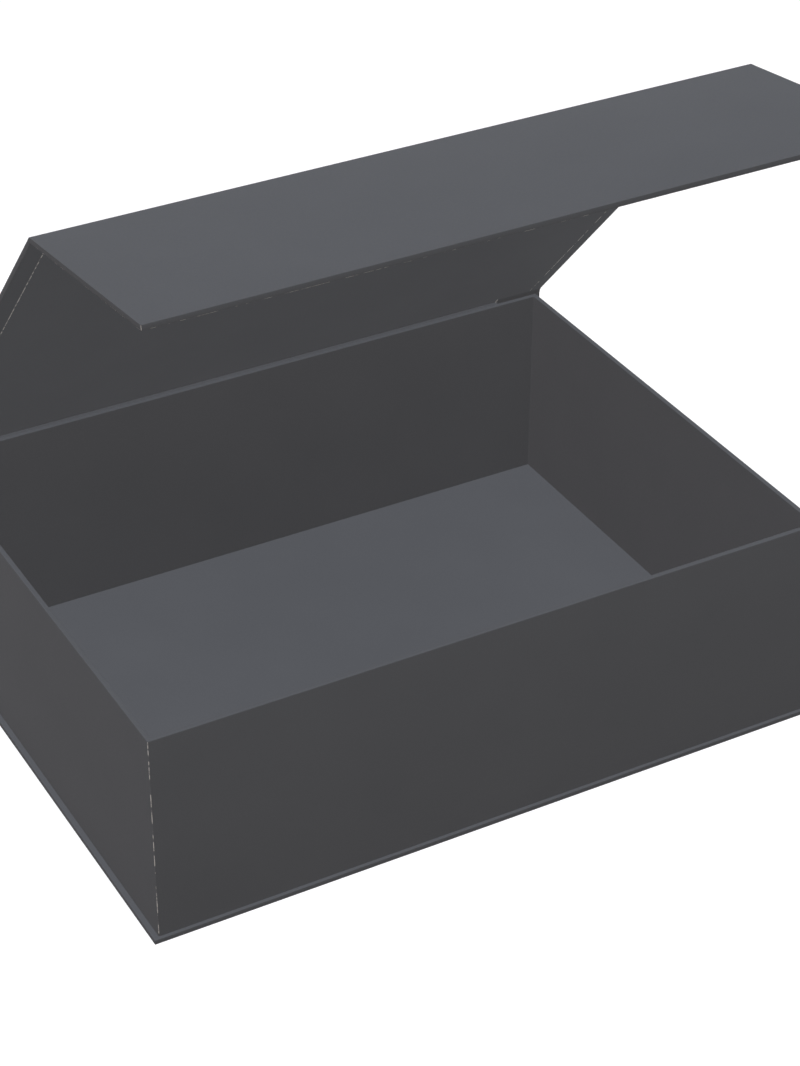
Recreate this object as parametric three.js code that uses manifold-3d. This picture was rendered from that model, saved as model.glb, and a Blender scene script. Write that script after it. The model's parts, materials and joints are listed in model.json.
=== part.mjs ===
// Rigid gift box with a book style magnetic lid, shown half open, in millimetres with +Z up.
// A tray of folded greyboard stands in a wrapped case: base, spine, lid and front flap.
// The origin is the middle of the tray's footprint on the underside of the base.
import * as THREE from 'three';
import { mergeVertices } from 'three/addons/utils/BufferGeometryUtils.js';
import Module from 'manifold-3d';

const wasm = await Module();
wasm.setup();

// Driving dimensions of the tray
const insideWidth = 300;
const insideDepth = 221;
const insideHeight = 93;

// Sheet thicknesses: greyboard, wrapping paper, gummed corner tape and the film of glue
const board = 1.8;
const paper = 0.12;
const tape = 0.08;
const glue = 0.03;

// How far the base, spine, lid and flap stand past the tray
const sideOverhang = 2.35;
const frontOverhang = 1.45;

// Gaps in the closed box: lid and flap to the tray, flap to the base, mitred boards to the fold
const closingGap = 0.2;
const flapFootGap = 0.8;
const foldGap = 0.5;

// Widths of what is folded over or glued on
const turnIn = 15;
const trayTurnIn = 12;
const floorTurnIn = 10;
const linerInset = 5.5;
const hingeLinerInset = 21;
const floorLinerGap = 0.4;
const tapeLeg = 14;
const tapeEndGap = 0.5;

// Corner and slit sizes
const boardCorner = 0.5;
const cavityCorner = 0.3;
const rimFold = 0.2;
const mitreSlit = 0.12;
const seam = 0.05;

// Magnets in the flap and steel keepers in the front wall
const discDiameter = 15;
const discThickness = 1.1;
const discPlay = 0.1;
const discSpacing = 190;
const discHeight = 66;

// How far the box stands open
const lidOpening = THREE.MathUtils.degToRad(48.5);
const flapOpening = THREE.MathUtils.degToRad(48.5);

// Facets of a small corner and of a disc
const cornerSteps = 4;
const discSides = 32;

// A glued paper layer, a wrapped panel and a tray wall
const skin = paper + glue;
const panel = board + 2 * skin;
const tapeLayer = tape + glue;
const outerLayer = skin + tapeLayer;
const wall = outerLayer + board + skin;

// Heights from the underside of the base upwards
const trayUnderside = panel + glue;
const trayBoardBottom = trayUnderside + skin;
const floorBoardTop = trayBoardBottom + board;
const floorTurnInTop = floorBoardTop + skin;
const floorHeight = floorTurnInTop + skin;
const rimHeight = floorHeight + insideHeight;
const rimBoardTop = rimHeight - skin;

// Plan of the tray, and the planes of the spine and the flap
const trayHalfWidth = insideWidth / 2 + wall;
const trayHalfDepth = insideDepth / 2 + wall;
const caseHalfWidth = trayHalfWidth + sideOverhang;
const baseFront = -trayHalfDepth - frontOverhang;
const spineInner = trayHalfDepth + glue;
const spineOuter = spineInner + panel;

// The lid folds at the outer top corner of the spine, the flap at the lid's outer front corner
const linedPanel = panel + skin;
const hingeHeight = rimHeight + closingGap + linedPanel;
const lidLength = spineOuter + trayHalfDepth + closingGap + linedPanel;
const flapLength = hingeHeight - panel - flapFootGap;
const setback = panel + foldGap;

// Matte charcoal paper, bare greyboard, kraft tape and nickel plated discs
const charcoalPaper = { color: 0x55565b, roughness: 0.82, metalness: 0 };
const linerPaper = { color: 0x57585d, roughness: 0.84, metalness: 0 };
const greyboard = { color: 0x8d8578, roughness: 0.95, metalness: 0 };
const kraftTape = { color: 0xa8845a, roughness: 0.9, metalness: 0 };
const nickel = { color: 0xc4c2bc, roughness: 0.3, metalness: 1 };

// A closed geometry as a solid that can be joined or cut
function solidOf(geometry) {
  const bare = geometry.clone();
  bare.deleteAttribute('normal');
  bare.deleteAttribute('uv');
  const merged = mergeVertices(bare);
  const vertProperties = new Float32Array(merged.attributes.position.array);
  const triVerts = new Uint32Array(merged.index.array);
  return new wasm.Manifold(new wasm.Mesh({ numProp: 3, vertProperties, triVerts }));
}

function geometryOf(solid) {
  const mesh = solid.getMesh();
  const geometry = new THREE.BufferGeometry();
  geometry.setAttribute('position', new THREE.BufferAttribute(mesh.vertProperties, 3));
  geometry.setIndex(new THREE.BufferAttribute(mesh.triVerts, 1));
  geometry.computeVertexNormals();
  return geometry;
}

function cutBy(geometry, cutters) {
  let solid = solidOf(geometry);
  for (const cutter of cutters) {
    solid = solid.subtract(solidOf(cutter));
  }
  return geometryOf(solid);
}

function piece(name, geometry, finish) {
  const mesh = new THREE.Mesh(geometry, new THREE.MeshStandardMaterial(finish));
  mesh.name = name;
  return mesh;
}

// A box given by its lowest and highest corners
function block([x0, y0, z0], [x1, y1, z1]) {
  const geometry = new THREE.BoxGeometry(x1 - x0, y1 - y0, z1 - z0);
  geometry.translate((x0 + x1) / 2, (y0 + y1) / 2, (z0 + z1) / 2);
  return geometry;
}

// A disc whose axis lies along Z, from z0 to z1
function disc(radius, x, y, z0, z1) {
  const geometry = new THREE.CylinderGeometry(radius, radius, z1 - z0, discSides);
  geometry.rotateX(Math.PI / 2);
  return geometry.translate(x, y, (z0 + z1) / 2);
}

// A disc in the front wall, y0 to y1 deep from the wall's outer face
function frontDisc(radius, side, y0, y1) {
  return disc(radius, (side * discSpacing) / 2, discHeight, -y1, -y0).rotateX(Math.PI / 2);
}

// A section drawn in Y and Z, drawn out along X to both sides of the middle
function drawnOut(section, halfWidth) {
  const outline = new THREE.Shape(section.map(([y, z]) => new THREE.Vector2(y, z)));
  const geometry = new THREE.ExtrudeGeometry(outline, { depth: 2 * halfWidth, bevelEnabled: false });
  geometry.translate(0, 0, -halfWidth);
  const yzToX = new THREE.Matrix4().set(0, 0, 1, 0, 1, 0, 0, 0, 0, 1, 0, 0, 0, 0, 0, 1);
  return geometry.applyMatrix4(yzToX);
}

// The outline of a sheet of even thickness that follows a path, on the path's left side
function ribbon(path, thickness) {
  const normals = path.slice(1).map(([u, v], i) => {
    const along = new THREE.Vector2(u - path[i][0], v - path[i][1]).normalize();
    return new THREE.Vector2(-along.y, along.x);
  });
  const offset = path.map(([u, v], i) => {
    const before = normals[Math.max(i - 1, 0)];
    const after = normals[Math.min(i, normals.length - 1)];
    const mitre = before.clone().add(after).divideScalar(1 + before.dot(after));
    return [u + thickness * mitre.x, v + thickness * mitre.y];
  });
  return [...path, ...offset.reverse()];
}

function arc(centreU, centreV, radius, from, to) {
  return Array.from({ length: cornerSteps + 1 }, (_, i) => {
    const angle = from + ((to - from) * i) / cornerSteps;
    return [centreU + radius * Math.cos(angle), centreV + radius * Math.sin(angle)];
  });
}

// A rectangle with round corners, anticlockwise seen from above
function roundedPlan(halfWidth, halfDepth, radius) {
  const corners = [[1, 1], [-1, 1], [-1, -1], [1, -1]];
  return corners.flatMap(([sx, sy], i) => {
    const from = (i * Math.PI) / 2;
    return arc(sx * (halfWidth - radius), sy * (halfDepth - radius), radius, from, from + Math.PI / 2);
  });
}

function uprightPrism(plan, z0, z1) {
  const outline = new THREE.Shape(plan.map(([x, y]) => new THREE.Vector2(x, y)));
  const geometry = new THREE.ExtrudeGeometry(outline, { depth: z1 - z0, bevelEnabled: false });
  return geometry.translate(0, 0, z0);
}

// A closed sheet round the tray: each point of its section is an inset, a height and a corner radius
function sheetRound(section) {
  const rings = section.map(({ inset, z, radius }) =>
    roundedPlan(trayHalfWidth - inset, trayHalfDepth - inset, radius).map(([x, y]) => [x, y, z]));
  const count = rings[0].length;
  const index = [];
  rings.forEach((_, r) => {
    const next = (r + 1) % rings.length;
    for (let i = 0; i < count; i += 1) {
      const j = (i + 1) % count;
      const [a, b, c, d] = [r * count + i, r * count + j, next * count + j, next * count + i];
      index.push(a, b, c, a, c, d);
    }
  });
  const geometry = new THREE.BufferGeometry();
  geometry.setAttribute('position', new THREE.Float32BufferAttribute(rings.flat(2), 3));
  geometry.setIndex(index);
  geometry.computeVertexNormals();
  return geometry;
}

// The tray: one sheet of board, grooved and folded up, with mitred corners open by a hairline
function trayBoard() {
  const halfWidth = trayHalfWidth - outerLayer;
  const halfDepth = trayHalfDepth - outerLayer;
  const outside = uprightPrism(roundedPlan(halfWidth, halfDepth, boardCorner), trayBoardBottom, rimBoardTop);
  const hollow = [insideWidth / 2 + skin, insideDepth / 2 + skin];
  const cavity = block([-hollow[0], -hollow[1], floorBoardTop], [hollow[0], hollow[1], rimHeight]);
  const slits = [[1, 1], [-1, 1], [-1, -1], [1, -1]].map(([sx, sy]) => {
    const slit = block([-wall, -mitreSlit / 2, floorBoardTop], [wall, mitreSlit / 2, rimHeight]);
    slit.rotateZ(Math.atan2(sy, sx));
    return slit.translate(sx * (hollow[0] + board / 2), sy * (hollow[1] + board / 2), 0);
  });
  const pockets = [-1, 1].map((side) =>
    frontDisc(discDiameter / 2 + discPlay, side, -halfDepth - board, -halfDepth + discThickness + glue));
  return cutBy(outside, [cavity, ...slits, ...pockets]);
}

// Gummed tape folded round one corner of the tray board
function cornerTape(sx, sy) {
  const reachX = trayHalfWidth - outerLayer + glue;
  const reachY = trayHalfDepth - outerLayer + glue;
  const radius = boardCorner + glue;
  const bend = arc(reachX - radius, reachY - radius, radius, 0, Math.PI / 2);
  const path = [[reachX, reachY - tapeLeg], ...bend, [reachX - tapeLeg, reachY]].reverse();
  const plan = ribbon(path, tape).map(([x, y]) => [sx * x, sy * y]);
  return uprightPrism(plan, trayBoardBottom + tapeEndGap, rimBoardTop - tapeEndGap);
}

// The paper that covers the tray walls: turned under the bottom, up, over the rim and onto the floor
function trayWrap() {
  const outerRadius = boardCorner + outerLayer;
  const outside = (inset, z) => ({ inset, z, radius: outerRadius - inset });
  const inside = (inset, z) => ({ inset, z, radius: cavityCorner + wall - inset });
  const tucked = (inset, z) => ({ inset, z, radius: cavityCorner });
  const rimArc = (centre, radius, from, to, make) =>
    arc(centre, rimHeight - rimFold, radius, from, to).map(([inset, z]) => make(inset, z));
  return sheetRound([
    tucked(trayTurnIn, trayUnderside),
    outside(0, trayUnderside),
    ...rimArc(rimFold, rimFold, Math.PI, Math.PI / 2, outside),
    ...rimArc(wall - rimFold, rimFold, Math.PI / 2, 0, inside),
    inside(wall, floorTurnInTop),
    tucked(wall + floorTurnIn, floorTurnInTop),
    tucked(wall + floorTurnIn, floorTurnInTop - paper),
    inside(wall - paper, floorTurnInTop - paper),
    ...rimArc(wall - rimFold, rimFold - paper, 0, Math.PI / 2, inside),
    ...rimArc(rimFold, rimFold - paper, Math.PI / 2, Math.PI, outside),
    outside(paper, trayUnderside + paper),
    tucked(trayTurnIn, trayUnderside + paper),
  ]);
}

// Lining paper on the tray floor
function floorLiner() {
  const halfWidth = insideWidth / 2 - floorLinerGap;
  const halfDepth = insideDepth / 2 - floorLinerGap;
  return uprightPrism(roundedPlan(halfWidth, halfDepth, cavityCorner), floorHeight - paper, floorHeight);
}

// A panel is drawn lying flat: it starts at its fold, the origin, and runs along -Y, outer face up.
// The spine is such a panel hung down from the lid fold, with its outer face to the back
function hungAsSpine(geometry) {
  const halfTurn = new THREE.Matrix4().makeRotationAxis(new THREE.Vector3(0, 1, 1).normalize(), Math.PI);
  return geometry.applyMatrix4(halfTurn).translate(0, spineOuter, hingeHeight);
}

// The far end of a panel, where the next fold is
function atFarEnd(geometry, length) {
  return geometry.rotateZ(Math.PI).translate(0, -length, 0);
}

// What a mitred panel loses at its fold, so that two panels meet at 45 degrees when the box is closed
function mitreLoss() {
  const beyond = 4 * panel;
  const section = [[beyond - foldGap, beyond], [-beyond - foldGap, -beyond], [beyond, -beyond]];
  return drawnOut(section, caseHalfWidth + beyond);
}

// The part of the covering paper that is left to the hinge paper at a fold
function hingeStrip() {
  const half = caseHalfWidth - paper;
  return block([-half, -setback, -panel / 2], [half, panel, panel]);
}

// A thin cut at 45 degrees where two turned in edges meet at a panel's corner
function cornerSlit(side, y, z0, z1) {
  const reach = (turnIn + paper) * Math.SQRT2;
  const slit = block([seam, -mitreSlit / 2, z0], [reach, mitreSlit / 2, z1]);
  slit.rotateZ(Math.atan2(1, -side));
  return slit.translate(side * (caseHalfWidth - paper), y + paper, 0);
}

// The base and spine are covered by one paper, folded round the bottom back edge
function caseWrap() {
  const fold = (radius) => arc(spineInner, panel, radius, -Math.PI / 2, 0);
  const above = hingeHeight + panel;
  const outer = [[baseFront, 0], ...fold(panel), [spineOuter, above], [spineInner, above],
    [spineInner, panel], [baseFront, panel]];
  const inner = [[baseFront + paper, paper], ...fold(panel - paper), [spineOuter - paper, above + panel],
    [spineInner + paper, above + panel], [spineInner + paper, panel - paper],
    [baseFront + paper, panel - paper]];
  const openHalf = caseHalfWidth - turnIn;
  const middle = spineInner + panel / 2;
  const baseWindow = block([-openHalf, baseFront + turnIn, panel / 2], [openHalf, middle, 2 * panel]);
  const spineWindow = block([-openHalf, spineInner - panel, panel / 2], [openHalf, middle, above + panel]);
  const slits = [-1, 1].map((side) => cornerSlit(side, baseFront, panel / 2, 2 * panel));
  return cutBy(drawnOut(outer, caseHalfWidth), [drawnOut(inner, caseHalfWidth - paper), baseWindow,
    spineWindow, ...slits, hungAsSpine(mitreLoss()), hungAsSpine(hingeStrip())]);
}

function baseBoard() {
  const half = caseHalfWidth - skin;
  return block([-half, baseFront + skin, skin], [half, spineInner, skin + board]);
}

function spineBoard() {
  const half = caseHalfWidth - skin;
  const sheet = block([-half, spineInner + skin, panel], [half, spineInner + skin + board, hingeHeight]);
  return cutBy(sheet, [hungAsSpine(mitreLoss())]);
}

function keeperDisc(side) {
  const front = -trayHalfDepth + outerLayer;
  return frontDisc(discDiameter / 2, side, front, front + discThickness);
}

function lidBoard() {
  const half = caseHalfWidth - skin;
  const sheet = block([-half, -lidLength, -skin - board], [half, 0, -skin]);
  return cutBy(sheet, [mitreLoss(), atFarEnd(mitreLoss(), lidLength)]);
}

// A panel's cover before its folds are cut: a sheet with its two sides turned in
function sideWrap(length) {
  const half = caseHalfWidth;
  const path = [[half - turnIn, -panel], [half, -panel], [half, 0],
    [-half, 0], [-half, -panel], [-half + turnIn, -panel]];
  const outline = new THREE.Shape(ribbon(path, paper).map(([x, z]) => new THREE.Vector2(x, z)));
  const geometry = new THREE.ExtrudeGeometry(outline, { depth: length, bevelEnabled: false });
  return geometry.rotateX(Math.PI / 2);
}

function lidWrap() {
  return cutBy(sideWrap(lidLength), [mitreLoss(), hingeStrip(), atFarEnd(mitreLoss(), lidLength),
    atFarEnd(hingeStrip(), lidLength)]);
}

function lidLiner() {
  const half = caseHalfWidth - linerInset;
  return block([-half, -lidLength + setback + seam, -linedPanel], [half, -setback - seam, -linedPanel + paper]);
}

// The magnets lie over the keepers when the flap is closed
const discDrop = hingeHeight - discHeight;
const discFace = -skin - board;

function flapBoard() {
  const half = caseHalfWidth - skin;
  const sheet = block([-half, -flapLength + skin, discFace], [half, 0, -skin]);
  const pockets = [-1, 1].map((side) =>
    disc(discDiameter / 2 + discPlay, (side * discSpacing) / 2, -discDrop, -2 * panel,
      discFace + discThickness + glue));
  return cutBy(sheet, [mitreLoss(), ...pockets]);
}

function flapWrap() {
  const cover = block([-caseHalfWidth, -flapLength, -panel], [caseHalfWidth, 0, 0]);
  const coreHalf = caseHalfWidth - paper;
  const core = block([-coreHalf, -flapLength + paper, -panel + paper], [coreHalf, panel, -paper]);
  const openHalf = caseHalfWidth - turnIn;
  const opened = block([-openHalf, -flapLength + turnIn, -2 * panel], [openHalf, panel, -panel / 2]);
  const slits = [-1, 1].map((side) => cornerSlit(side, -flapLength, -2 * panel, -panel / 2));
  return cutBy(cover, [core, opened, ...slits, mitreLoss(), hingeStrip()]);
}

function flapLiner() {
  const half = caseHalfWidth - linerInset;
  return block([-half, -flapLength + linerInset, -linedPanel], [half, -setback - seam, -linedPanel + paper]);
}

function flapMagnet(side) {
  return disc(discDiameter / 2, (side * discSpacing) / 2, -discDrop, discFace, discFace + discThickness);
}

// A fold seen from its end: the first panel comes up to the origin, the second turns off to the left.
// A place on a panel is given by its distance from the fold and its depth under the outer face
function foldPlaces(turn) {
  const placed = (angle, away, depth) => {
    const place = new THREE.Vector2(-depth, away).rotateAround(new THREE.Vector2(), angle);
    return [place.x, place.y];
  };
  return {
    first: (away, depth) => placed(0, -away, depth),
    second: (away, depth) => placed(turn, away, depth),
  };
}

// The strip of covering paper over the fold, between the side edges of the panels
function hingePaper(opening) {
  const { first, second } = foldPlaces(Math.PI / 2 - opening);
  const reach = setback - seam;
  return drawnOut(ribbon([first(reach, 0), [0, 0], second(reach, 0)], paper), caseHalfWidth - paper - seam);
}

// The lining strip creased into the fold, along both mitred edges
function hingeLiner(opening) {
  const { first, second } = foldPlaces(Math.PI / 2 - opening);
  const away = (depth) => foldGap + depth - glue * Math.SQRT2;
  const root = board / 4;
  const path = [first(away(panel), panel), first(away(root), root),
    second(away(root), root), second(away(panel), panel)];
  return drawnOut(ribbon(path, paper), caseHalfWidth - hingeLinerInset);
}

// The flap, hung on the lid's front fold
const flap = new THREE.Group();
flap.position.set(0, -lidLength, 0);
flap.rotation.x = Math.PI / 2 - flapOpening;
flap.add(piece('flap_board', flapBoard(), greyboard));
flap.add(piece('flap_wrap', flapWrap(), charcoalPaper));
flap.add(piece('flap_liner', flapLiner(), linerPaper));
flap.add(piece('flap_magnet_left', flapMagnet(-1), nickel));
flap.add(piece('flap_magnet_right', flapMagnet(1), nickel));

// The lid, hung on the spine's top fold, with the hinge papers of the flap
const lid = new THREE.Group();
lid.position.set(0, spineOuter, hingeHeight);
lid.rotation.x = -lidOpening;
lid.add(piece('lid_board', lidBoard(), greyboard));
lid.add(piece('lid_wrap', lidWrap(), charcoalPaper));
lid.add(piece('lid_liner', lidLiner(), linerPaper));
lid.add(flap);

const flapHinge = new THREE.Group();
flapHinge.position.set(0, -lidLength, 0);
flapHinge.rotation.x = Math.PI / 2;
flapHinge.add(piece('flap_hinge_paper', hingePaper(flapOpening), charcoalPaper));
flapHinge.add(piece('flap_hinge_liner', hingeLiner(flapOpening), linerPaper));
lid.add(flapHinge);

const lidHinge = new THREE.Group();
lidHinge.position.set(0, spineOuter, hingeHeight);
lidHinge.add(piece('lid_hinge_paper', hingePaper(lidOpening), charcoalPaper));
lidHinge.add(piece('lid_hinge_liner', hingeLiner(lidOpening), linerPaper));

// The tray, its corner tapes and steel keepers
const tray = new THREE.Group();
tray.add(piece('tray_board', trayBoard(), greyboard));
const tapeCorners = { front_left: [-1, -1], front_right: [1, -1], back_left: [-1, 1], back_right: [1, 1] };
for (const [corner, [sx, sy]] of Object.entries(tapeCorners)) {
  tray.add(piece(`corner_tape_${corner}`, cornerTape(sx, sy), kraftTape));
}
tray.add(piece('tray_wrap', trayWrap(), charcoalPaper));
tray.add(piece('floor_liner', floorLiner(), linerPaper));
tray.add(piece('keeper_disc_left', keeperDisc(-1), nickel));
tray.add(piece('keeper_disc_right', keeperDisc(1), nickel));

// The fixed half of the case, glued to the tray's bottom and back
const fixedCase = new THREE.Group();
fixedCase.add(piece('base_board', baseBoard(), greyboard));
fixedCase.add(piece('spine_board', spineBoard(), greyboard));
fixedCase.add(piece('case_wrap', caseWrap(), charcoalPaper));

const box = new THREE.Group();
box.add(tray, fixedCase, lidHinge, lid);

export default box;
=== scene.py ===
import json
import math

import bmesh
import bpy
from mathutils import Matrix, Vector
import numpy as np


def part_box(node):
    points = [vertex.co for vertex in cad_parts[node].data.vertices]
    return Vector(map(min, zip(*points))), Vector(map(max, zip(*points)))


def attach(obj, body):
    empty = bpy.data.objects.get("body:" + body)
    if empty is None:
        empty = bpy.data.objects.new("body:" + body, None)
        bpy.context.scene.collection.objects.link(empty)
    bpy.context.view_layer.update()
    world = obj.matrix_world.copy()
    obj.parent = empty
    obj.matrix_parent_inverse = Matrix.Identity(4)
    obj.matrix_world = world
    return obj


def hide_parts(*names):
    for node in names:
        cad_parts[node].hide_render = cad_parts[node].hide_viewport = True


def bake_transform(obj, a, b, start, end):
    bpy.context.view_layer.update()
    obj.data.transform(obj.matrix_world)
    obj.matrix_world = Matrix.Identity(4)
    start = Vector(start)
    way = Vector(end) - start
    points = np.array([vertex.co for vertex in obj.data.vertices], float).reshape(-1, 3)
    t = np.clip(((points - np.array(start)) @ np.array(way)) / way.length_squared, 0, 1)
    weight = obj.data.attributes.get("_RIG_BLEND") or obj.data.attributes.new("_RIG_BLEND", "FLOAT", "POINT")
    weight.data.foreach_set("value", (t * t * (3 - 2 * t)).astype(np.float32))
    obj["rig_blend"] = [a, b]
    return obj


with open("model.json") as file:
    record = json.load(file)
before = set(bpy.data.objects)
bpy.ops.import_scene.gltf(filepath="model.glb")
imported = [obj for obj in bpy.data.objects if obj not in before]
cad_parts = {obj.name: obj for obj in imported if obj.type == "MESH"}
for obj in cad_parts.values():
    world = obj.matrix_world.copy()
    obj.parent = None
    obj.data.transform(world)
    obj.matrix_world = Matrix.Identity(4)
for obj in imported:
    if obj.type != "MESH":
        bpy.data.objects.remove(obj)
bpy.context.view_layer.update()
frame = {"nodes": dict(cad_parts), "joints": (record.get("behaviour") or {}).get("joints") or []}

MM = 0.001

# Paper and panel sizes, as the boards were made for them
PAPER = 0.12 * MM
GLUE = 0.03 * MM
SKIN = PAPER + GLUE
BOARD = 1.8 * MM
PANEL = BOARD + 2 * SKIN
FOLD_GAP = 0.5 * MM
TURN_IN = 15 * MM
FLOOR_TURN_IN = 10 * MM
TRAY_TURN_UNDER = 12 * MM
LINING_GAP = 0.4 * MM
LINING_BORDER = 0.45 * MM

# The linings on the lid and the folds were cut a little narrow, and the lid's lies a little to the right
LID_LINING_TRIM = 1.4 * MM
LID_LINING_SHIFT = 0.8 * MM
CREASE_LINING_TRIM = 2.1 * MM

# How sharply paper folds over board, and in how many steps
EDGE_ROUND = 0.35 * MM
CORNER_ROUND = 0.4 * MM
ROUND_STEPS = 4
HEEL_ROUND = 1.9 * MM
HEEL_STEPS = 6

# The paper over a fold: how far it reaches, how crisp it is, and the band in which it bends
CREASE_REACH = 2.2 * MM
CREASE_ROUND = 0.45 * MM
CREASE_STEPS = 8
BEND_BAND = 0.35 * MM

# The groove inside a fold, shallow where it is bare and pressed on to the mitre under its lining
GROOVE_SAG = 0.3 * MM
GROOVE_ROUND = 4.0 * MM
PRESSED_IN = 0.75 * MM
PRESSED_ROUND = 0.3 * MM
PRESSED_SLOPE = 0.4 * MM

# Sheets that lie on each other keep a hairline apart, and places nearer than a touch are the same place
HAIRLINE = 0.01 * MM
TOUCH = 0.001 * MM
RECESS = PAPER + HAIRLINE

# How far from the fold a mitre would start at the outer face: a panel's, and the crease paper's
PANEL_MITRE = FOLD_GAP - SKIN * math.sqrt(2)
CREASE_MITRE = FOLD_GAP - (SKIN + HAIRLINE) * math.sqrt(2)

# How much of a face's normal points some way
SLANTED = 0.1
MOSTLY = 0.5
STEEPLY = 0.95
SQUARELY = 0.99
SHARP_FROM = math.radians(35)

# How far rubbing has gone, with a painted highlight laid over the same edges, from 0 to 1
UNWORN = 0.0
WORN_HIGHLIT_FLAP_CORNER = 1.0
WORN_HIGHLIT_TRAY_CORNER = 0.68
WORN_HIGHLIT_FLAP_EDGE = 0.55
WORN_HIGHLIT_LINING = 0.72

# How rubbing and its painted highlight show: what they add to the paper's patchiness, and where the pale core
# and highlight start to show and are full
WEAR_AND_HIGHLIGHT_ADDS = 0.45
CORE_AND_HIGHLIGHT_SHOW = 0.76
CORE_AND_HIGHLIGHT_FULL = 0.86
HARDLY_MARKED = 0.02

# Colours of the papers: the face and its flecks, and the core where it is rubbed or cut; the pale rubbed
# colour is also a painted highlight
COVERING_TONES = ("#5a5c60", "#5e6064")
# The lining's tones are a little lighter than the covering's: painted light that lifts the shade on the tray
# floor
LINING_TONES_PAINTED_LIGHTER = ("#5e6064", "#626468")
RUBBED_AND_HIGHLIGHT = "#c6c4c1"
CUT_CORE = "#9a9997"
CUT_SHADE = "#6a6b70"

# Uncoated paper scatters nearly all light, so it hardly mirrors the studio
PAPER_SHINE = 0.06

# The camera of the photograph, worked out from the straight edges of the box: place in m, turn in degrees
CAMERA_PLACE = (-0.46351, -0.86175, 0.72455)
CAMERA_TURN = (56.2485, 0.1258, -28.5195)
CAMERA_SENSOR = 36.0
CAMERA_LENS = 93.432
CAMERA_SHIFT = (0.02645, 0.00937)

# The studio: the floor, what it gives back, the light from all round, and how soft the lamps are
FLOOR_HALF = 6.0
FLOOR_DROP = 0.05 * MM
FLOOR_BOUNCE = 0.04
FLOOR_WHITE = 0.88
FLOOR_LIFT = 0.26
ROOM_LIGHT = 0.03
LAMP_SPREAD = math.radians(60)
OVERHEAD = (-0.12, -0.2, 1.0)

# Where the folds are and how far the box stands open
joints = {joint["name"]: joint for joint in frame["joints"]}
LID_FOLD = Vector(joints["lid_fold"]["pos_m"])
FLAP_FOLD = Vector(joints["flap_fold"]["pos_m"])
LID_OPENING = math.radians(-joints["lid_fold"]["range_deg"][0])
FLAP_OPENING = math.radians(-joints["flap_fold"]["range_deg"][0])
LID_LENGTH = (FLAP_FOLD - LID_FOLD).length
case_low, case_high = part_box("case_wrap")
tray_low, tray_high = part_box("tray_wrap")
CASE_HALF = case_high[0]
TRAY_HALF_X = tray_high[0]
TRAY_HALF_Y = tray_high[1]

# A panel lies along -Y from its fold at the origin, outer face up; these put it where it belongs
LID_PLACE = Matrix.Translation(LID_FOLD) @ Matrix.Rotation(-LID_OPENING, 4, "X")
FLAP_PLACE = (Matrix.Translation(FLAP_FOLD) @ Matrix.Rotation(-LID_OPENING, 4, "X")
              @ Matrix.Rotation(math.pi / 2 - FLAP_OPENING, 4, "X"))


def to_linear(hex_colour):
    """An sRGB hex colour as linear red, green, blue and alpha."""
    values = [int(hex_colour[i:i + 2], 16) / 255 for i in (1, 3, 5)]
    return tuple(v / 12.92 if v <= 0.04045 else ((v + 0.055) / 1.055) ** 2.4 for v in values) + (1.0,)


def grey(level):
    """A linear grey, from 0 for black to 1 for white."""
    return (level, level, level, 1.0)


def every(size):
    """The scale that gives a noise pattern features of about this size."""
    return 1 / size


def add_node(tree, kind, settings=None, inputs=None):
    """Adds a node; an input is a value or the output socket that feeds it."""
    node = tree.nodes.new(kind)
    for key, value in (settings or {}).items():
        setattr(node, key, value)
    for key, value in (inputs or {}).items():
        if isinstance(value, bpy.types.NodeSocket):
            tree.links.new(value, node.inputs[key])
        else:
            node.inputs[key].default_value = value
    return node


def new_material(name):
    """A material with an empty node tree, and that tree."""
    material = bpy.data.materials.new(name)
    material.use_nodes = True
    material.node_tree.nodes.clear()
    return material, material.node_tree


def finish_material(tree, shader):
    """Leads the last shader to the surface."""
    add_node(tree, "ShaderNodeOutputMaterial", inputs={"Surface": shader.outputs[0]})


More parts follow.
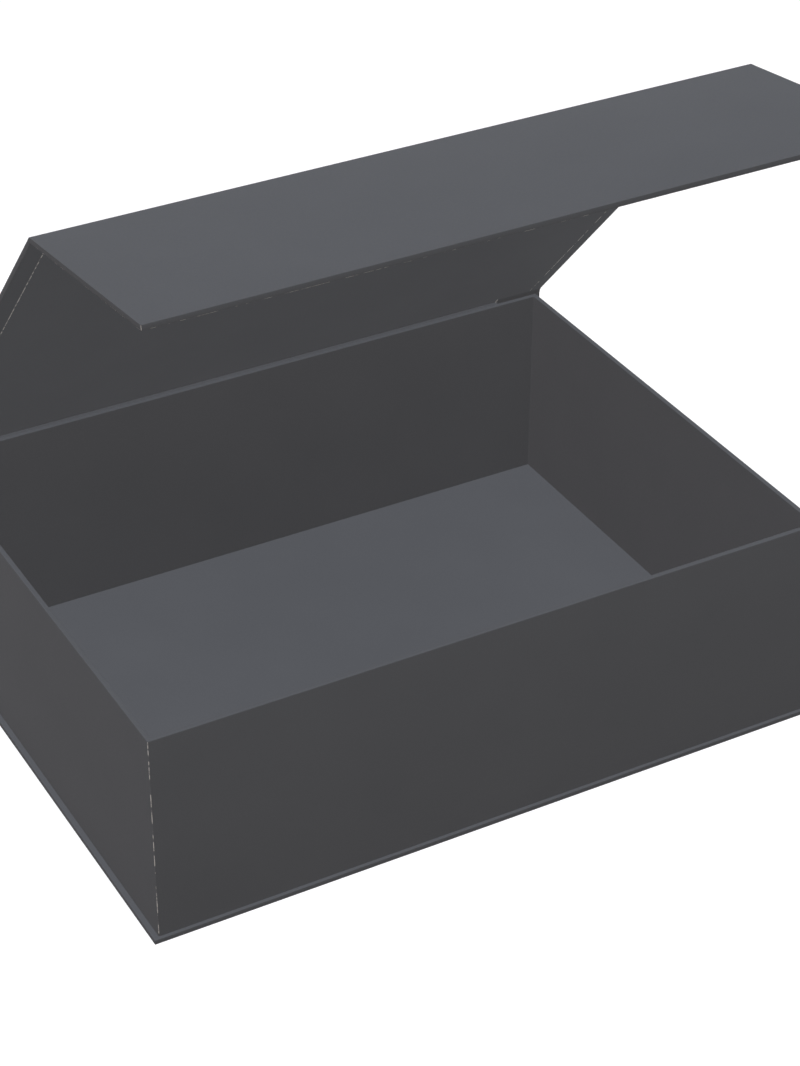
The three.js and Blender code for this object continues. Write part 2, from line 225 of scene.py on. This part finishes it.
def covering_paper(name, tones, roughness):
    """Dyed matte paper, calendered and glued on board: fine fibre, a soft cloudy tone, pale rubbed folds that
    are also painted highlights.
    """
    material, tree = new_material(name)
    place = add_node(tree, "ShaderNodeTexCoord").outputs["Object"]

    # The dye takes a little unevenly over a few centimetres, and flocks of fibre show at under a millimetre
    cloud = add_node(tree, "ShaderNodeTexNoise",
                     inputs={"Vector": place, "Scale": every(35 * MM), "Detail": 3.0})
    grain = add_node(tree, "ShaderNodeTexNoise",
                     inputs={"Vector": place, "Scale": every(0.7 * MM), "Detail": 2.0})
    tone = add_node(tree, "ShaderNodeMix", {"data_type": "FLOAT"},
                    {"Factor": 0.6, "A": cloud.outputs["Fac"], "B": grain.outputs["Fac"]})
    tint = add_node(tree, "ShaderNodeValToRGB", inputs={"Fac": tone.outputs[0]})
    for stop, position, colour in zip(tint.color_ramp.elements, (0.3, 0.7), tones):
        stop.position = position
        stop.color = to_linear(colour)

    # Where a fold is marked as worn, specks of pale colour show every few millimetres: the rubbed core and a
    # painted highlight of the light the fold catches
    wear_and_highlight = add_node(tree, "ShaderNodeAttribute", {"attribute_name": "edge_wear_and_highlight"})
    patches = add_node(tree, "ShaderNodeTexNoise",
                       inputs={"Vector": place, "Scale": every(3 * MM), "Detail": 6.0})
    reached = add_node(tree, "ShaderNodeMath", {"operation": "MULTIPLY_ADD"},
                       {0: wear_and_highlight.outputs["Fac"], 1: WEAR_AND_HIGHLIGHT_ADDS, 2: patches.outputs["Fac"]})
    rubbed_and_highlit = add_node(tree, "ShaderNodeMapRange",
                      inputs={"Value": reached.outputs[0], "From Min": CORE_AND_HIGHLIGHT_SHOW, "From Max": CORE_AND_HIGHLIGHT_FULL})
    on_folds = add_node(tree, "ShaderNodeMath", {"operation": "GREATER_THAN"},
                        {0: wear_and_highlight.outputs["Fac"], 1: HARDLY_MARKED})
    worn_and_highlit_amount = add_node(tree, "ShaderNodeMath", {"operation": "MULTIPLY"},
                            {0: rubbed_and_highlit.outputs[0], 1: on_folds.outputs[0]})
    # The pale colour mixed in here is rubbed core and a painted highlight together
    colour = add_node(tree, "ShaderNodeMix", {"data_type": "RGBA"},
                      {"Factor": worn_and_highlit_amount.outputs[0], "A": tint.outputs["Color"], "B": to_linear(RUBBED_AND_HIGHLIGHT)})

    # Single fibres are finer than the picture shows, so the tooth of the paper is drawn at half a millimetre
    fibre = add_node(tree, "ShaderNodeTexNoise",
                     inputs={"Vector": place, "Scale": every(0.45 * MM), "Detail": 4.0, "Roughness": 0.65})
    bump = add_node(tree, "ShaderNodeBump",
                    inputs={"Strength": 0.25, "Distance": 0.03 * MM, "Height": fibre.outputs["Fac"]})
    shader = add_node(tree, "ShaderNodeBsdfPrincipled",
                      inputs={"Base Color": colour.outputs["Result"], "Roughness": roughness,
                              "Specular IOR Level": PAPER_SHINE, "Normal": bump.outputs[0]})
    finish_material(tree, shader)
    return material


def cut_paper_edge(name):
    """The core of dyed paper where the knife went through: a soft, fluffy, slightly paler line."""
    material, tree = new_material(name)
    place = add_node(tree, "ShaderNodeTexCoord").outputs["Object"]

    # Loose fibre stands up along the cut, in tufts drawn at a millimetre, coarser than real, so that they show
    fluff = add_node(tree, "ShaderNodeTexNoise",
                     inputs={"Vector": place, "Scale": every(1.1 * MM), "Detail": 3.0})
    tint = add_node(tree, "ShaderNodeMix", {"data_type": "RGBA"},
                    {"Factor": fluff.outputs["Fac"], "A": to_linear(CUT_CORE), "B": to_linear(CUT_SHADE)})
    shader = add_node(tree, "ShaderNodeBsdfPrincipled",
                      inputs={"Base Color": tint.outputs["Result"], "Roughness": 0.9})
    finish_material(tree, shader)
    return material


def greyboard_material(name):
    """Bare greyboard rolled from waste paper: brown grey, dull, with dark and light specks."""
    material, tree = new_material(name)
    place = add_node(tree, "ShaderNodeTexCoord").outputs["Object"]

    # Scraps of printed paper are left in the pulp as specks of one or two millimetres
    specks = add_node(tree, "ShaderNodeTexNoise",
                      inputs={"Vector": place, "Scale": every(1.4 * MM), "Detail": 4.0})
    tint = add_node(tree, "ShaderNodeMix", {"data_type": "RGBA"},
                    {"Factor": specks.outputs["Fac"], "A": to_linear("#6f6a60"), "B": to_linear("#a39a8a")})
    bump = add_node(tree, "ShaderNodeBump",
                    inputs={"Strength": 0.4, "Distance": 0.05 * MM, "Height": specks.outputs["Fac"]})
    shader = add_node(tree, "ShaderNodeBsdfPrincipled",
                      inputs={"Base Color": tint.outputs["Result"], "Roughness": 0.92,
                              "Normal": bump.outputs[0]})
    finish_material(tree, shader)
    return material


def nickel_material(name):
    """Nickel plate over steel and magnet: a warm grey mirror, dulled in patches by scuffs from stacking."""
    material, tree = new_material(name)
    place = add_node(tree, "ShaderNodeTexCoord").outputs["Object"]

    # The scuffs lie in patches of about two millimetres
    scuffs = add_node(tree, "ShaderNodeTexNoise",
                      inputs={"Vector": place, "Scale": every(2 * MM), "Detail": 4.0})
    rough = add_node(tree, "ShaderNodeMapRange",
                     inputs={"Value": scuffs.outputs["Fac"], "To Min": 0.22, "To Max": 0.38})
    shader = add_node(tree, "ShaderNodeBsdfPrincipled",
                      inputs={"Base Color": to_linear("#c9c6bf"), "Metallic": 1.0,
                              "Roughness": rough.outputs[0]})
    finish_material(tree, shader)
    return material


def kraft_material(name):
    """Gummed kraft tape, machine made and unbleached: matte brown with lighter streaks of long fibre."""
    material, tree = new_material(name)
    place = add_node(tree, "ShaderNodeTexCoord").outputs["Object"]

    # The streaks run up the tape and are drawn just under a millimetre wide, coarser than real, to show
    along = add_node(tree, "ShaderNodeMapping", inputs={"Vector": place, "Scale": (1.0, 1.0, 0.2)})
    fibre = add_node(tree, "ShaderNodeTexNoise",
                     inputs={"Vector": along.outputs[0], "Scale": every(0.8 * MM), "Detail": 5.0})
    tint = add_node(tree, "ShaderNodeMix", {"data_type": "RGBA"},
                    {"Factor": fibre.outputs["Fac"], "A": to_linear("#8a6a45"), "B": to_linear("#b8925f")})
    shader = add_node(tree, "ShaderNodeBsdfPrincipled",
                      inputs={"Base Color": tint.outputs["Result"], "Roughness": 0.8})
    finish_material(tree, shader)
    return material


def piece_from(bm, name, materials, place=None):
    """Makes an object at the origin from a bmesh, with its place in its mesh."""
    if place is not None:
        bmesh.ops.transform(bm, matrix=place, verts=bm.verts)
    mesh = bpy.data.meshes.new(name)
    bm.to_mesh(mesh)
    bm.free()
    mesh.set_sharp_from_angle(angle=SHARP_FROM)
    for material in materials:
        mesh.materials.append(material)
    piece = bpy.data.objects.new(name, mesh)
    bpy.context.scene.collection.objects.link(piece)
    return piece


def new_sheet():
    """An empty bmesh whose faces can be marked as worn and painted with a highlight."""
    bm = bmesh.new()
    bm.faces.layers.float.new("edge_wear_and_highlight")
    return bm


def mark_worn_and_highlit(bm, how_worn_and_highlit):
    """Marks each face with how worn it is and how much painted highlight it gets, from 0 to 1."""
    wear_and_highlight = bm.faces.layers.float["edge_wear_and_highlight"]
    for face in bm.faces:
        face[wear_and_highlight] = how_worn_and_highlit(face)


def round_edges(bm, edges, radius, steps=ROUND_STEPS):
    """Rounds edges where paper folds over board."""
    made = bmesh.ops.bevel(bm, geom=edges, offset=radius, offset_type="OFFSET", affect="EDGES",
                           segments=steps, profile=0.5, material=-1, clamp_overlap=True)
    for face in made["faces"]:
        face.smooth = True


def drawn_out(section, half_width):
    """A closed section in Y and Z, drawn out to both sides along X."""
    bm = new_sheet()
    end = bm.faces.new([bm.verts.new((-half_width, y, z)) for y, z in section])
    made = bmesh.ops.extrude_face_region(bm, geom=[end])
    moved = [item for item in made["geom"] if isinstance(item, bmesh.types.BMVert)]
    bmesh.ops.translate(bm, verts=moved, vec=(2 * half_width, 0, 0))
    bmesh.ops.holes_fill(bm, edges=[edge for edge in bm.edges if edge.is_boundary])
    bmesh.ops.recalc_face_normals(bm, faces=bm.faces)
    return bm


def faces_where(bm, normal, test=lambda centre: True):
    """The faces that squarely face some way and whose centre passes the test."""
    facing = Vector(normal)
    return [face for face in bm.faces
            if face.normal.dot(facing) > SQUARELY and test(face.calc_center_median())]


def open_window(bm, faces):
    """Cuts the middle out of some faces, so that the turned in edge is left all round."""
    bmesh.ops.inset_region(bm, faces=faces, thickness=TURN_IN - EDGE_ROUND, use_even_offset=True)
    bmesh.ops.delete(bm, geom=faces, context="FACES")


def give_thickness(bm):
    """Turns an open surface into a sheet of paper, inwards from its outer face."""
    bmesh.ops.solidify(bm, geom=bm.faces[:], thickness=PAPER)


def long_edges(bm, test):
    """The edges along X whose middle passes the test."""
    found = []
    for edge in bm.edges:
        a, b = (vert.co for vert in edge.verts)
        if abs(a.y - b.y) + abs(a.z - b.z) < TOUCH and test((a + b) / 2):
            found.append(edge)
    return found


def end_edges(bm, test):
    """The edges round the two ends of the case's papers whose middle passes the test."""
    found = []
    for edge in bm.edges:
        a, b = (vert.co for vert in edge.verts)
        at_end = abs(abs(a.x) - CASE_HALF) < HAIRLINE and abs(abs(b.x) - CASE_HALF) < HAIRLINE
        if at_end and a.x * b.x > 0 and test((a + b) / 2):
            found.append(edge)
    return found


def edges_at_level(bm, z):
    """The edges that lie level at a height."""
    return [edge for edge in bm.edges if all(abs(vert.co.z - z) < HAIRLINE for vert in edge.verts)]


def go_on_from(bm, edges):
    """Extrudes edges into faces, and returns the new verts and the new far edges."""
    made = bmesh.ops.extrude_edge_only(bm, edges=edges)["geom"]
    verts = {item for item in made if isinstance(item, bmesh.types.BMVert)}
    return verts, [item for item in made if isinstance(item, bmesh.types.BMEdge) and set(item.verts) <= verts]


def fold_on(bm, edges, inwards=0.0, down=0.0):
    """Goes on with the paper from some edges, inwards or down, and returns the new far edges."""
    verts, far_edges = go_on_from(bm, edges)
    for vert in verts:
        vert.co.x -= math.copysign(inwards, vert.co.x)
        vert.co.y -= math.copysign(inwards, vert.co.y)
        vert.co.z -= down
    return far_edges


def worn_highlit_tray_corner(face):
    """The tray's upright outer corners are rubbed along their middle, with a painted highlight where they
    catch the light.
    """
    outside = abs(face.calc_center_median().x) > TRAY_HALF_X - CORNER_ROUND
    diagonal = min(abs(face.normal.x), abs(face.normal.y)) > MOSTLY
    return WORN_HIGHLIT_TRAY_CORNER if outside and diagonal else UNWORN


def cover_tray(paper):
    """The paper round the tray's walls: turned under, up, over the rim and down on to the floor."""
    bm = new_sheet()
    lining_low, lining_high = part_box("floor_liner")
    wall = TRAY_HALF_X - lining_high[0] - LINING_GAP
    walls = bmesh.ops.create_cube(bm, size=1.0)["verts"]
    bmesh.ops.scale(bm, verts=walls, vec=(2 * TRAY_HALF_X, 2 * TRAY_HALF_Y, tray_high[2] - tray_low[2]))
    bmesh.ops.translate(bm, verts=walls, vec=(0, 0, (tray_high[2] + tray_low[2]) / 2))
    open_ends = [face for face in bm.faces if abs(face.normal.z) > MOSTLY]
    bmesh.ops.delete(bm, geom=open_ends, context="FACES_ONLY")
    round_edges(bm, [edge for edge in bm.edges if not edge.is_boundary], CORNER_ROUND)

    # From the rim the paper goes over the wall, down it and on to the floor, and from the foot it goes under
    top = edges_at_level(bm, tray_high[2])
    bottom = edges_at_level(bm, tray_low[2])
    inner_top = fold_on(bm, top, inwards=wall)
    inner_bottom = fold_on(bm, inner_top, down=tray_high[2] - lining_low[2] + GLUE)
    fold_on(bm, inner_bottom, inwards=FLOOR_TURN_IN)
    fold_on(bm, bottom, inwards=TRAY_TURN_UNDER)
    bmesh.ops.recalc_face_normals(bm, faces=bm.faces)
    rim_faces = [face for face in bm.faces if face.calc_center_median().z > tray_high[2] - HAIRLINE]
    if rim_faces[0].normal.z < 0:
        bmesh.ops.reverse_faces(bm, faces=bm.faces)
    round_edges(bm, top + inner_top, EDGE_ROUND)
    # Paints the rubbed highlight along the middle of the tray's upright outer corners
    mark_worn_and_highlit(bm, worn_highlit_tray_corner)
    give_thickness(bm)
    return piece_from(bm, "tray_cover", [paper])


def cover_case(paper):
    """The paper on the base and spine, folded round the bottom back edge."""
    front = case_low[1]
    back = case_high[1]
    inner = back - PANEL
    top = LID_FOLD[2]
    section = [(front, 0.0), (back, 0.0), (back, top - CREASE_REACH), (back - RECESS, top - CREASE_REACH),
               (back - RECESS, top - PANEL_MITRE - RECESS), (inner, top - PANEL_MITRE - PANEL),
               (inner, PANEL), (front, PANEL)]
    bm = drawn_out(section, CASE_HALF)
    under_crease = faces_where(bm, (0, 1, 0), lambda centre: centre.y < back - RECESS / 2)
    bmesh.ops.delete(bm, geom=under_crease, context="FACES_ONLY")
    heel = long_edges(bm, lambda middle: middle.y > back - HAIRLINE and middle.z < HAIRLINE)
    round_edges(bm, heel, HEEL_ROUND, HEEL_STEPS)
    rounded = end_edges(bm, lambda middle: middle.z < top - CREASE_REACH)
    rounded += long_edges(bm, lambda middle: middle.y < front + HAIRLINE)
    round_edges(bm, rounded, EDGE_ROUND)
    window = faces_where(bm, (0, 0, 1), lambda centre: abs(centre.z - PANEL) < HAIRLINE)
    window += faces_where(bm, (0, -1, 0), lambda centre: abs(centre.y - inner) < HAIRLINE)
    open_window(bm, window)
    give_thickness(bm)
    return piece_from(bm, "case_cover", [paper])


def fold_end():
    """The outline of a mitred panel at its fold, as distance from the fold and depth."""
    return [(CREASE_REACH, 0.0), (CREASE_REACH, RECESS), (PANEL_MITRE + RECESS, RECESS),
            (PANEL_MITRE + PANEL, PANEL)]


def panel_section(length, folded_both_ends):
    """A panel's section: its fold at the origin, then along -Y."""
    near = [(-away, -depth) for away, depth in fold_end()]
    if folded_both_ends:
        far = [(away - length, -depth) for away, depth in reversed(fold_end())]
    else:
        far = [(-length, -PANEL), (-length, 0.0)]
    return near + far


def worn_highlit_flap_edge(face, length):
    """The flap's upright front corners are rubbed, and its lower edges a little, both with a painted
    highlight.
    """
    at_front = face.calc_center_median().y < EDGE_ROUND - length
    if at_front and abs(face.normal.z) < SLANTED < abs(face.normal.x) < SQUARELY:
        return WORN_HIGHLIT_FLAP_CORNER
    return WORN_HIGHLIT_FLAP_EDGE if -STEEPLY < face.normal.z < -SLANTED else UNWORN


def cover_panel(name, length, folded_both_ends, paper, place):
    """The covering paper of the lid or flap: outer face, turned in edges and mitred ends."""
    bm = drawn_out(panel_section(length, folded_both_ends), CASE_HALF)
    under_crease = faces_where(bm, (0, 0, 1), lambda centre: abs(centre.z + RECESS) < TOUCH)
    bmesh.ops.delete(bm, geom=under_crease, context="FACES_ONLY")
    rounded = end_edges(bm, lambda middle: middle.z > -HAIRLINE or middle.z < HAIRLINE - PANEL)
    if not folded_both_ends:
        front = HAIRLINE - length
        rounded += long_edges(bm, lambda middle: middle.y < front)
        rounded += end_edges(bm, lambda middle: middle.y < front and abs(middle.z + PANEL / 2) < HAIRLINE)
    round_edges(bm, rounded, EDGE_ROUND)
    if not folded_both_ends:
        # Paints the rubbed highlight on the flap's front corners and lower edges
        mark_worn_and_highlit(bm, lambda face: worn_highlit_flap_edge(face, length))
    open_window(bm, faces_where(bm, (0, 0, -1)))
    give_thickness(bm)
    return piece_from(bm, name, [paper], place)


def lining_sheet(name, corners, faces_up, side_wear_and_highlight, materials, place=None):
    """A flat lining sheet: its knife cut border shows the paper's core, and its sides are rubbed and painted
    with a highlight.
    """
    low, high = corners
    middle = [(low[0] + high[0]) / 2, (low[1] + high[1]) / 2, high[2] if faces_up else low[2]]
    bm = new_sheet()
    bmesh.ops.create_grid(bm, x_segments=1, y_segments=1, size=0.5)
    bmesh.ops.scale(bm, verts=bm.verts, vec=(high[0] - low[0], high[1] - low[1], 1.0))
    bmesh.ops.translate(bm, verts=bm.verts, vec=middle)
    if not faces_up:
        bmesh.ops.reverse_faces(bm, faces=bm.faces)
    border = bmesh.ops.inset_region(bm, faces=bm.faces[:], thickness=LINING_BORDER, use_boundary=True)
    to_the_side = (high[0] - low[0]) / 2 - LINING_BORDER
    sides = {face for face in border["faces"] if abs(face.calc_center_median().x - middle[0]) > to_the_side}
    # Paints the rubbed highlight along the lining's side borders
    mark_worn_and_highlit(bm, lambda face: side_wear_and_highlight if face in sides else UNWORN)
    give_thickness(bm)
    for face in bm.faces:
        face.material_index = 0 if abs(face.normal.z) > MOSTLY else 1
    return piece_from(bm, name, materials, place)


def panel_corners(node, place):
    """A flat node's lowest and highest corners in the frame of its panel."""
    back = place.inverted()
    places = [back @ vert.co for vert in frame["nodes"][node].data.vertices]
    low = [min(point[i] for point in places) for i in range(3)]
    high = [max(point[i] for point in places) for i in range(3)]
    return low, high


def lid_lining_corners():
    """The lid's lining as it was cut and glued: a little narrower than its blank, and off to the right."""
    low, high = panel_corners("lid_liner", LID_PLACE)
    low[0] += LID_LINING_SHIFT + LID_LINING_TRIM
    high[0] += LID_LINING_SHIFT - LID_LINING_TRIM
    return low, high


def fold_sides(fold, first_turn, opening):
    """Gives each panel at a fold a function that turns a distance off the fold and a depth into Y and Z."""
    def placed(angle, along, depth):
        place = Matrix.Rotation(angle, 2) @ Vector((-depth, along))
        return Vector((fold.y + place.x, fold.z + place.y))

    second_turn = first_turn + math.pi / 2 - opening
    return (lambda away, depth: placed(first_turn, -away, depth),
            lambda away, depth: placed(second_turn, away, depth))


def round_turn(before, corner, after, radius):
    """Points that round the corner between two straight runs."""
    into = (corner - before).normalized()
    out = (after - corner).normalized()
    reach = radius * math.tan(into.angle(out) / 2)
    start = corner - into * reach
    end = corner + out * reach
    steps = [i / CREASE_STEPS for i in range(CREASE_STEPS + 1)]
    return [start * (1 - t) ** 2 + corner * 2 * t * (1 - t) + end * t ** 2 for t in steps]


def groove_path(start, bottom, end, radius):
    """A groove from one panel's inner edge to the other's, with a round bottom."""
    return [start, *round_turn(start, bottom, end, radius), end]


def on_mitre(first, depth):
    """The bottom of the groove, where paper from a depth is pressed on to the first panel's mitre."""
    return first(CREASE_MITRE + depth - PRESSED_IN, depth - PRESSED_IN)


def lined_half(fold_name):
    """Half the width of the lining strip over a fold."""
    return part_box(f"{fold_name}_hinge_liner")[1][0] - CREASE_LINING_TRIM


def press_in(bm, shallow, deep, half_width):
    """Presses the middle stretch of a fold's inner face from a shallow groove down to a deep one."""
    for x in (half_width, half_width - PRESSED_SLOPE):
        for side in (-x, x):
            bmesh.ops.bisect_plane(bm, geom=bm.verts[:] + bm.edges[:] + bm.faces[:],
                                   plane_co=(side, 0, 0), plane_no=(1, 0, 0))
    for vert in bm.verts:
        if abs(vert.co.x) < half_width - PRESSED_SLOPE / 2:
            matches = [i for i, place in enumerate(shallow) if (place - vert.co.yz).length < TOUCH]
            if matches:
                vert.co.yz = deep[matches[0]]
    bm.normal_update()


def crease_cover(fold_name, first, second, pressed_half, paper):
    """The covering paper over a fold, turned in at both ends and pressed into the groove."""
    reach = CREASE_REACH - HAIRLINE
    start = first(reach, 0)
    corner = first(0, 0)
    end = second(reach, 0)
    inner_end = second(CREASE_MITRE + PANEL, PANEL)
    inner_start = first(CREASE_MITRE + PANEL, PANEL)
    middle = (inner_start + inner_end) / 2
    sagging = middle + (corner - middle).normalized() * GROOVE_SAG
    shallow = groove_path(inner_end, sagging, inner_start, GROOVE_ROUND)
    deep = groove_path(inner_end, on_mitre(first, PANEL), inner_start, PRESSED_ROUND)
    section = [start, *round_turn(start, corner, end, CREASE_ROUND), end,
               second(reach, PAPER), second(CREASE_MITRE + PAPER, PAPER), *shallow,
               first(CREASE_MITRE + PAPER, PAPER), first(reach, PAPER)]
    bm = drawn_out(section, CASE_HALF - HAIRLINE)
    press_in(bm, shallow, deep, pressed_half)
    for face in bm.faces:
        face.smooth = abs(face.normal.x) < MOSTLY
    return piece_from(bm, f"{fold_name}_crease_cover", [paper])


def strip_along(path, half_width, facing):
    """A strip of paper that follows a path in Y and Z, drawn out along X, with its two ends a little worn and
    painted with a highlight.
    """
    bm = new_sheet()
    points = [bm.verts.new((-half_width, y, z)) for y, z in path]
    edges = [bm.edges.new(pair) for pair in zip(points, points[1:])]
    for width in (LINING_BORDER, 2 * (half_width - LINING_BORDER), LINING_BORDER):
        verts, edges = go_on_from(bm, edges)
        bmesh.ops.translate(bm, verts=list(verts), vec=(width, 0, 0))
    bm.normal_update()
    bm.faces.ensure_lookup_table()
    if bm.faces[0].normal.dot(facing) < 0:
        bmesh.ops.reverse_faces(bm, faces=bm.faces)
    at_end = half_width - LINING_BORDER
    # Paints the rubbed highlight on the strip's two ends
    mark_worn_and_highlit(bm, lambda face: WORN_HIGHLIT_LINING if abs(face.calc_center_median().x) > at_end else UNWORN)
    for face in bm.faces:
        face.smooth = True
    give_thickness(bm)
    return bm


def crease_lining(fold_name, first, second, lining):
    """The lining strip over the inside of a fold, pressed into the groove; its ends are knife cut."""
    depth = PANEL + PAPER
    start = first(CREASE_MITRE + depth, depth)
    end = second(CREASE_MITRE + depth, depth)
    path = groove_path(start, on_mitre(first, depth), end, PRESSED_ROUND)
    inwards = start - first(CREASE_MITRE + depth, 0)
    bm = strip_along(path, lined_half(fold_name) - PRESSED_SLOPE, Vector((0, inwards.x, inwards.y)))
    return piece_from(bm, f"{fold_name}_crease_lining", [lining])


def dress(piece, body, node):
    """Lets a piece ride on a body in place of a solid."""
    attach(piece, body)
    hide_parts(node)


def dress_across(piece, first, second, bodies, node, slot):
    """Lets a piece bend in a narrow band across a fold, in place of the fold's stiff solid."""
    line = first(0, 0)
    across = (second(1, 0) - line).normalized() - (first(1, 0) - line).normalized()
    band = across.normalized() * BEND_BAND
    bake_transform(piece, *bodies, start=(0, *(line - band)), end=(0, *(line + band)))
    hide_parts(node)


def dress_tray(paper, lining_papers):
    """The tray's covering, the case's on its base and spine, and the lining on the floor."""
    dress(cover_tray(paper), "tray", "tray_wrap")
    dress(cover_case(paper), "tray", "case_wrap")
    floor_lining = lining_sheet("floor_lining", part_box("floor_liner"), True, UNWORN, lining_papers)
    dress(floor_lining, "tray", "floor_liner")


def dress_lid(paper, lining_papers):
    """The lid's covering and its lining."""
    cover = cover_panel("lid_cover", LID_LENGTH, True, paper, LID_PLACE)
    dress(cover, "lid", "lid_wrap")
    lining = lining_sheet("lid_lining", lid_lining_corners(), False, WORN_HIGHLIT_LINING, lining_papers, LID_PLACE)
    dress(lining, "lid", "lid_liner")


def dress_flap(paper, lining_papers):
    """The flap's covering and its lining."""
    flap_length = -panel_corners("flap_wrap", FLAP_PLACE)[0][1]
    cover = cover_panel("flap_cover", flap_length, False, paper, FLAP_PLACE)
    dress(cover, "flap", "flap_wrap")
    corners = panel_corners("flap_liner", FLAP_PLACE)
    lining = lining_sheet("flap_lining", corners, False, WORN_HIGHLIT_LINING, lining_papers, FLAP_PLACE)
    dress(lining, "flap", "flap_liner")


def dress_fold(name, sides, bodies, pressed_half, paper, lining):
    """The covering and the lining over one fold."""
    cover = crease_cover(name, *sides, pressed_half, paper)
    dress_across(cover, *sides, bodies, f"{name}_hinge_paper", "wrap_paper")
    strip = crease_lining(name, *sides, lining)
    dress_across(strip, *sides, bodies, f"{name}_hinge_liner", "liner_paper")


def dress_folds(paper, lining):
    """The two folds: the lid's is pressed in under its lining only, and the flap's from end to end."""
    lid_sides = fold_sides(LID_FOLD, 0.0, LID_OPENING)
    flap_sides = fold_sides(FLAP_FOLD, math.pi / 2 - LID_OPENING, FLAP_OPENING)
    dress_fold("lid", lid_sides, ("tray", "lid"), lined_half("lid"), paper, lining)
    dress_fold("flap", flap_sides, ("lid", "flap"), CASE_HALF + PRESSED_SLOPE, paper, lining)


def dress_hidden_nodes():
    """Boards, tapes and discs keep their CAD shapes and get their real finishes."""
    board = greyboard_material("greyboard")
    tape = kraft_material("kraft_tape")
    nickel = nickel_material("nickel_plate")
    for name, node in frame["nodes"].items():
        if name.endswith("board"):
            node.material_slots[0].material = board
        elif name.startswith("corner_tape"):
            node.material_slots[0].material = tape
        elif "disc" in name or "magnet" in name:
            node.material_slots[0].material = nickel


def seen_or_mirrored(tree):
    """Is 1 for rays from the camera and for those that metal or glass turn back to the studio."""
    rays = add_node(tree, "ShaderNodeLightPath")
    seen = add_node(tree, "ShaderNodeMath", {"operation": "MAXIMUM"},
                    {0: rays.outputs["Is Camera Ray"], 1: rays.outputs["Is Glossy Ray"]})
    either = add_node(tree, "ShaderNodeMath", {"operation": "MAXIMUM"},
                      {0: seen.outputs[0], 1: rays.outputs["Is Transmission Ray"]})
    return either.outputs[0]


def add_floor():
    """A pale studio floor: white to the camera, quieter as a source of light, with the box's shadow on it."""
    bm = bmesh.new()
    bmesh.ops.create_grid(bm, x_segments=1, y_segments=1, size=FLOOR_HALF)
    bmesh.ops.translate(bm, verts=bm.verts, vec=(0, 0, -FLOOR_DROP))
    material, tree = new_material("studio_floor")
    matte = add_node(tree, "ShaderNodeBsdfDiffuse", inputs={"Color": grey(FLOOR_WHITE)})
    lift = add_node(tree, "ShaderNodeEmission", inputs={"Color": grey(1.0), "Strength": FLOOR_LIFT})
    seen = add_node(tree, "ShaderNodeAddShader", inputs={0: matte.outputs[0], 1: lift.outputs[0]})
    quiet = add_node(tree, "ShaderNodeBsdfDiffuse", inputs={"Color": grey(FLOOR_BOUNCE)})
    shader = add_node(tree, "ShaderNodeMixShader",
                      inputs={"Fac": seen_or_mirrored(tree), 1: quiet.outputs[0], 2: seen.outputs[0]})
    finish_material(tree, shader)
    piece_from(bm, "studio_floor", [material])


def add_world():
    """Even light from all round, white to the camera and in reflections."""
    world = bpy.data.worlds.new("studio_world")
    world.use_nodes = True
    tree = world.node_tree
    tree.nodes.clear()
    light = add_node(tree, "ShaderNodeBackground", inputs={"Color": grey(1.0), "Strength": ROOM_LIGHT})
    white = add_node(tree, "ShaderNodeBackground", inputs={"Color": grey(1.0), "Strength": 1.0})
    both = add_node(tree, "ShaderNodeMixShader",
                    inputs={"Fac": seen_or_mirrored(tree), 1: light.outputs[0], 2: white.outputs[0]})
    add_node(tree, "ShaderNodeOutputWorld", inputs={"Surface": both.outputs[0]})
    bpy.context.scene.world = world


def add_sun(name, towards, strength, colour, shadow=False):
    """A large soft lamp; at strength 1 it shows a surface that faces it in about its written colour."""
    data = bpy.data.lights.new(name, "SUN")
    data.energy = strength * math.pi
    data.angle = LAMP_SPREAD
    data.color = to_linear(colour)[:3]
    data.use_shadow = shadow
    lamp = bpy.data.objects.new(name, data)
    lamp.rotation_euler = Vector(towards).to_track_quat("Z", "Y").to_euler()
    bpy.context.scene.collection.objects.link(lamp)


def add_lamps():
    """Studio lights: one overhead with a shadow, and fills from every side without."""
    add_sun("overhead", OVERHEAD, 0.03, "#fafbff", shadow=True)
    add_sun("overhead_fill", OVERHEAD, 0.80, "#fafbff")
    add_sun("front_fill", (0.0, -1.0, -0.1), 0.20, "#fff2e4")
    add_sun("under_fill", (0.0, -0.25, -0.98), 0.29, "#fafcff")
    add_sun("left_fill", (-1.0, 0.0, 0.0), 0.33, "#fff3eb")
    add_sun("back_fill", (0.12, 0.9, -0.1), 0.33, "#fffaf4")
    add_sun("right_fill", (1.0, 0.0, 0.0), 0.33, "#fff3eb")


def add_camera():
    """The camera at the photograph's viewing angle."""
    data = bpy.data.cameras.new("photo_view")
    data.sensor_width = CAMERA_SENSOR
    data.lens = CAMERA_LENS
    data.shift_x, data.shift_y = CAMERA_SHIFT
    camera = bpy.data.objects.new("photo_view", data)
    camera.location = CAMERA_PLACE
    camera.rotation_euler = [math.radians(turn) for turn in CAMERA_TURN]
    bpy.context.scene.collection.objects.link(camera)
    bpy.context.scene.camera = camera


covering = covering_paper("charcoal_covering_paper", COVERING_TONES, 0.8)
# The lining paper's lighter tones are painted light against the shade inside the tray
lining = covering_paper("charcoal_lining_paper", LINING_TONES_PAINTED_LIGHTER, 0.84)
cut_edge = cut_paper_edge("paper_core")

dress_tray(covering, [lining, cut_edge])
dress_lid(covering, [lining, cut_edge])
dress_flap(covering, [lining, cut_edge])
dress_folds(covering, lining)
dress_hidden_nodes()

add_floor()
add_world()
add_lamps()
add_camera()
bpy.context.scene.view_settings.view_transform = "Standard"
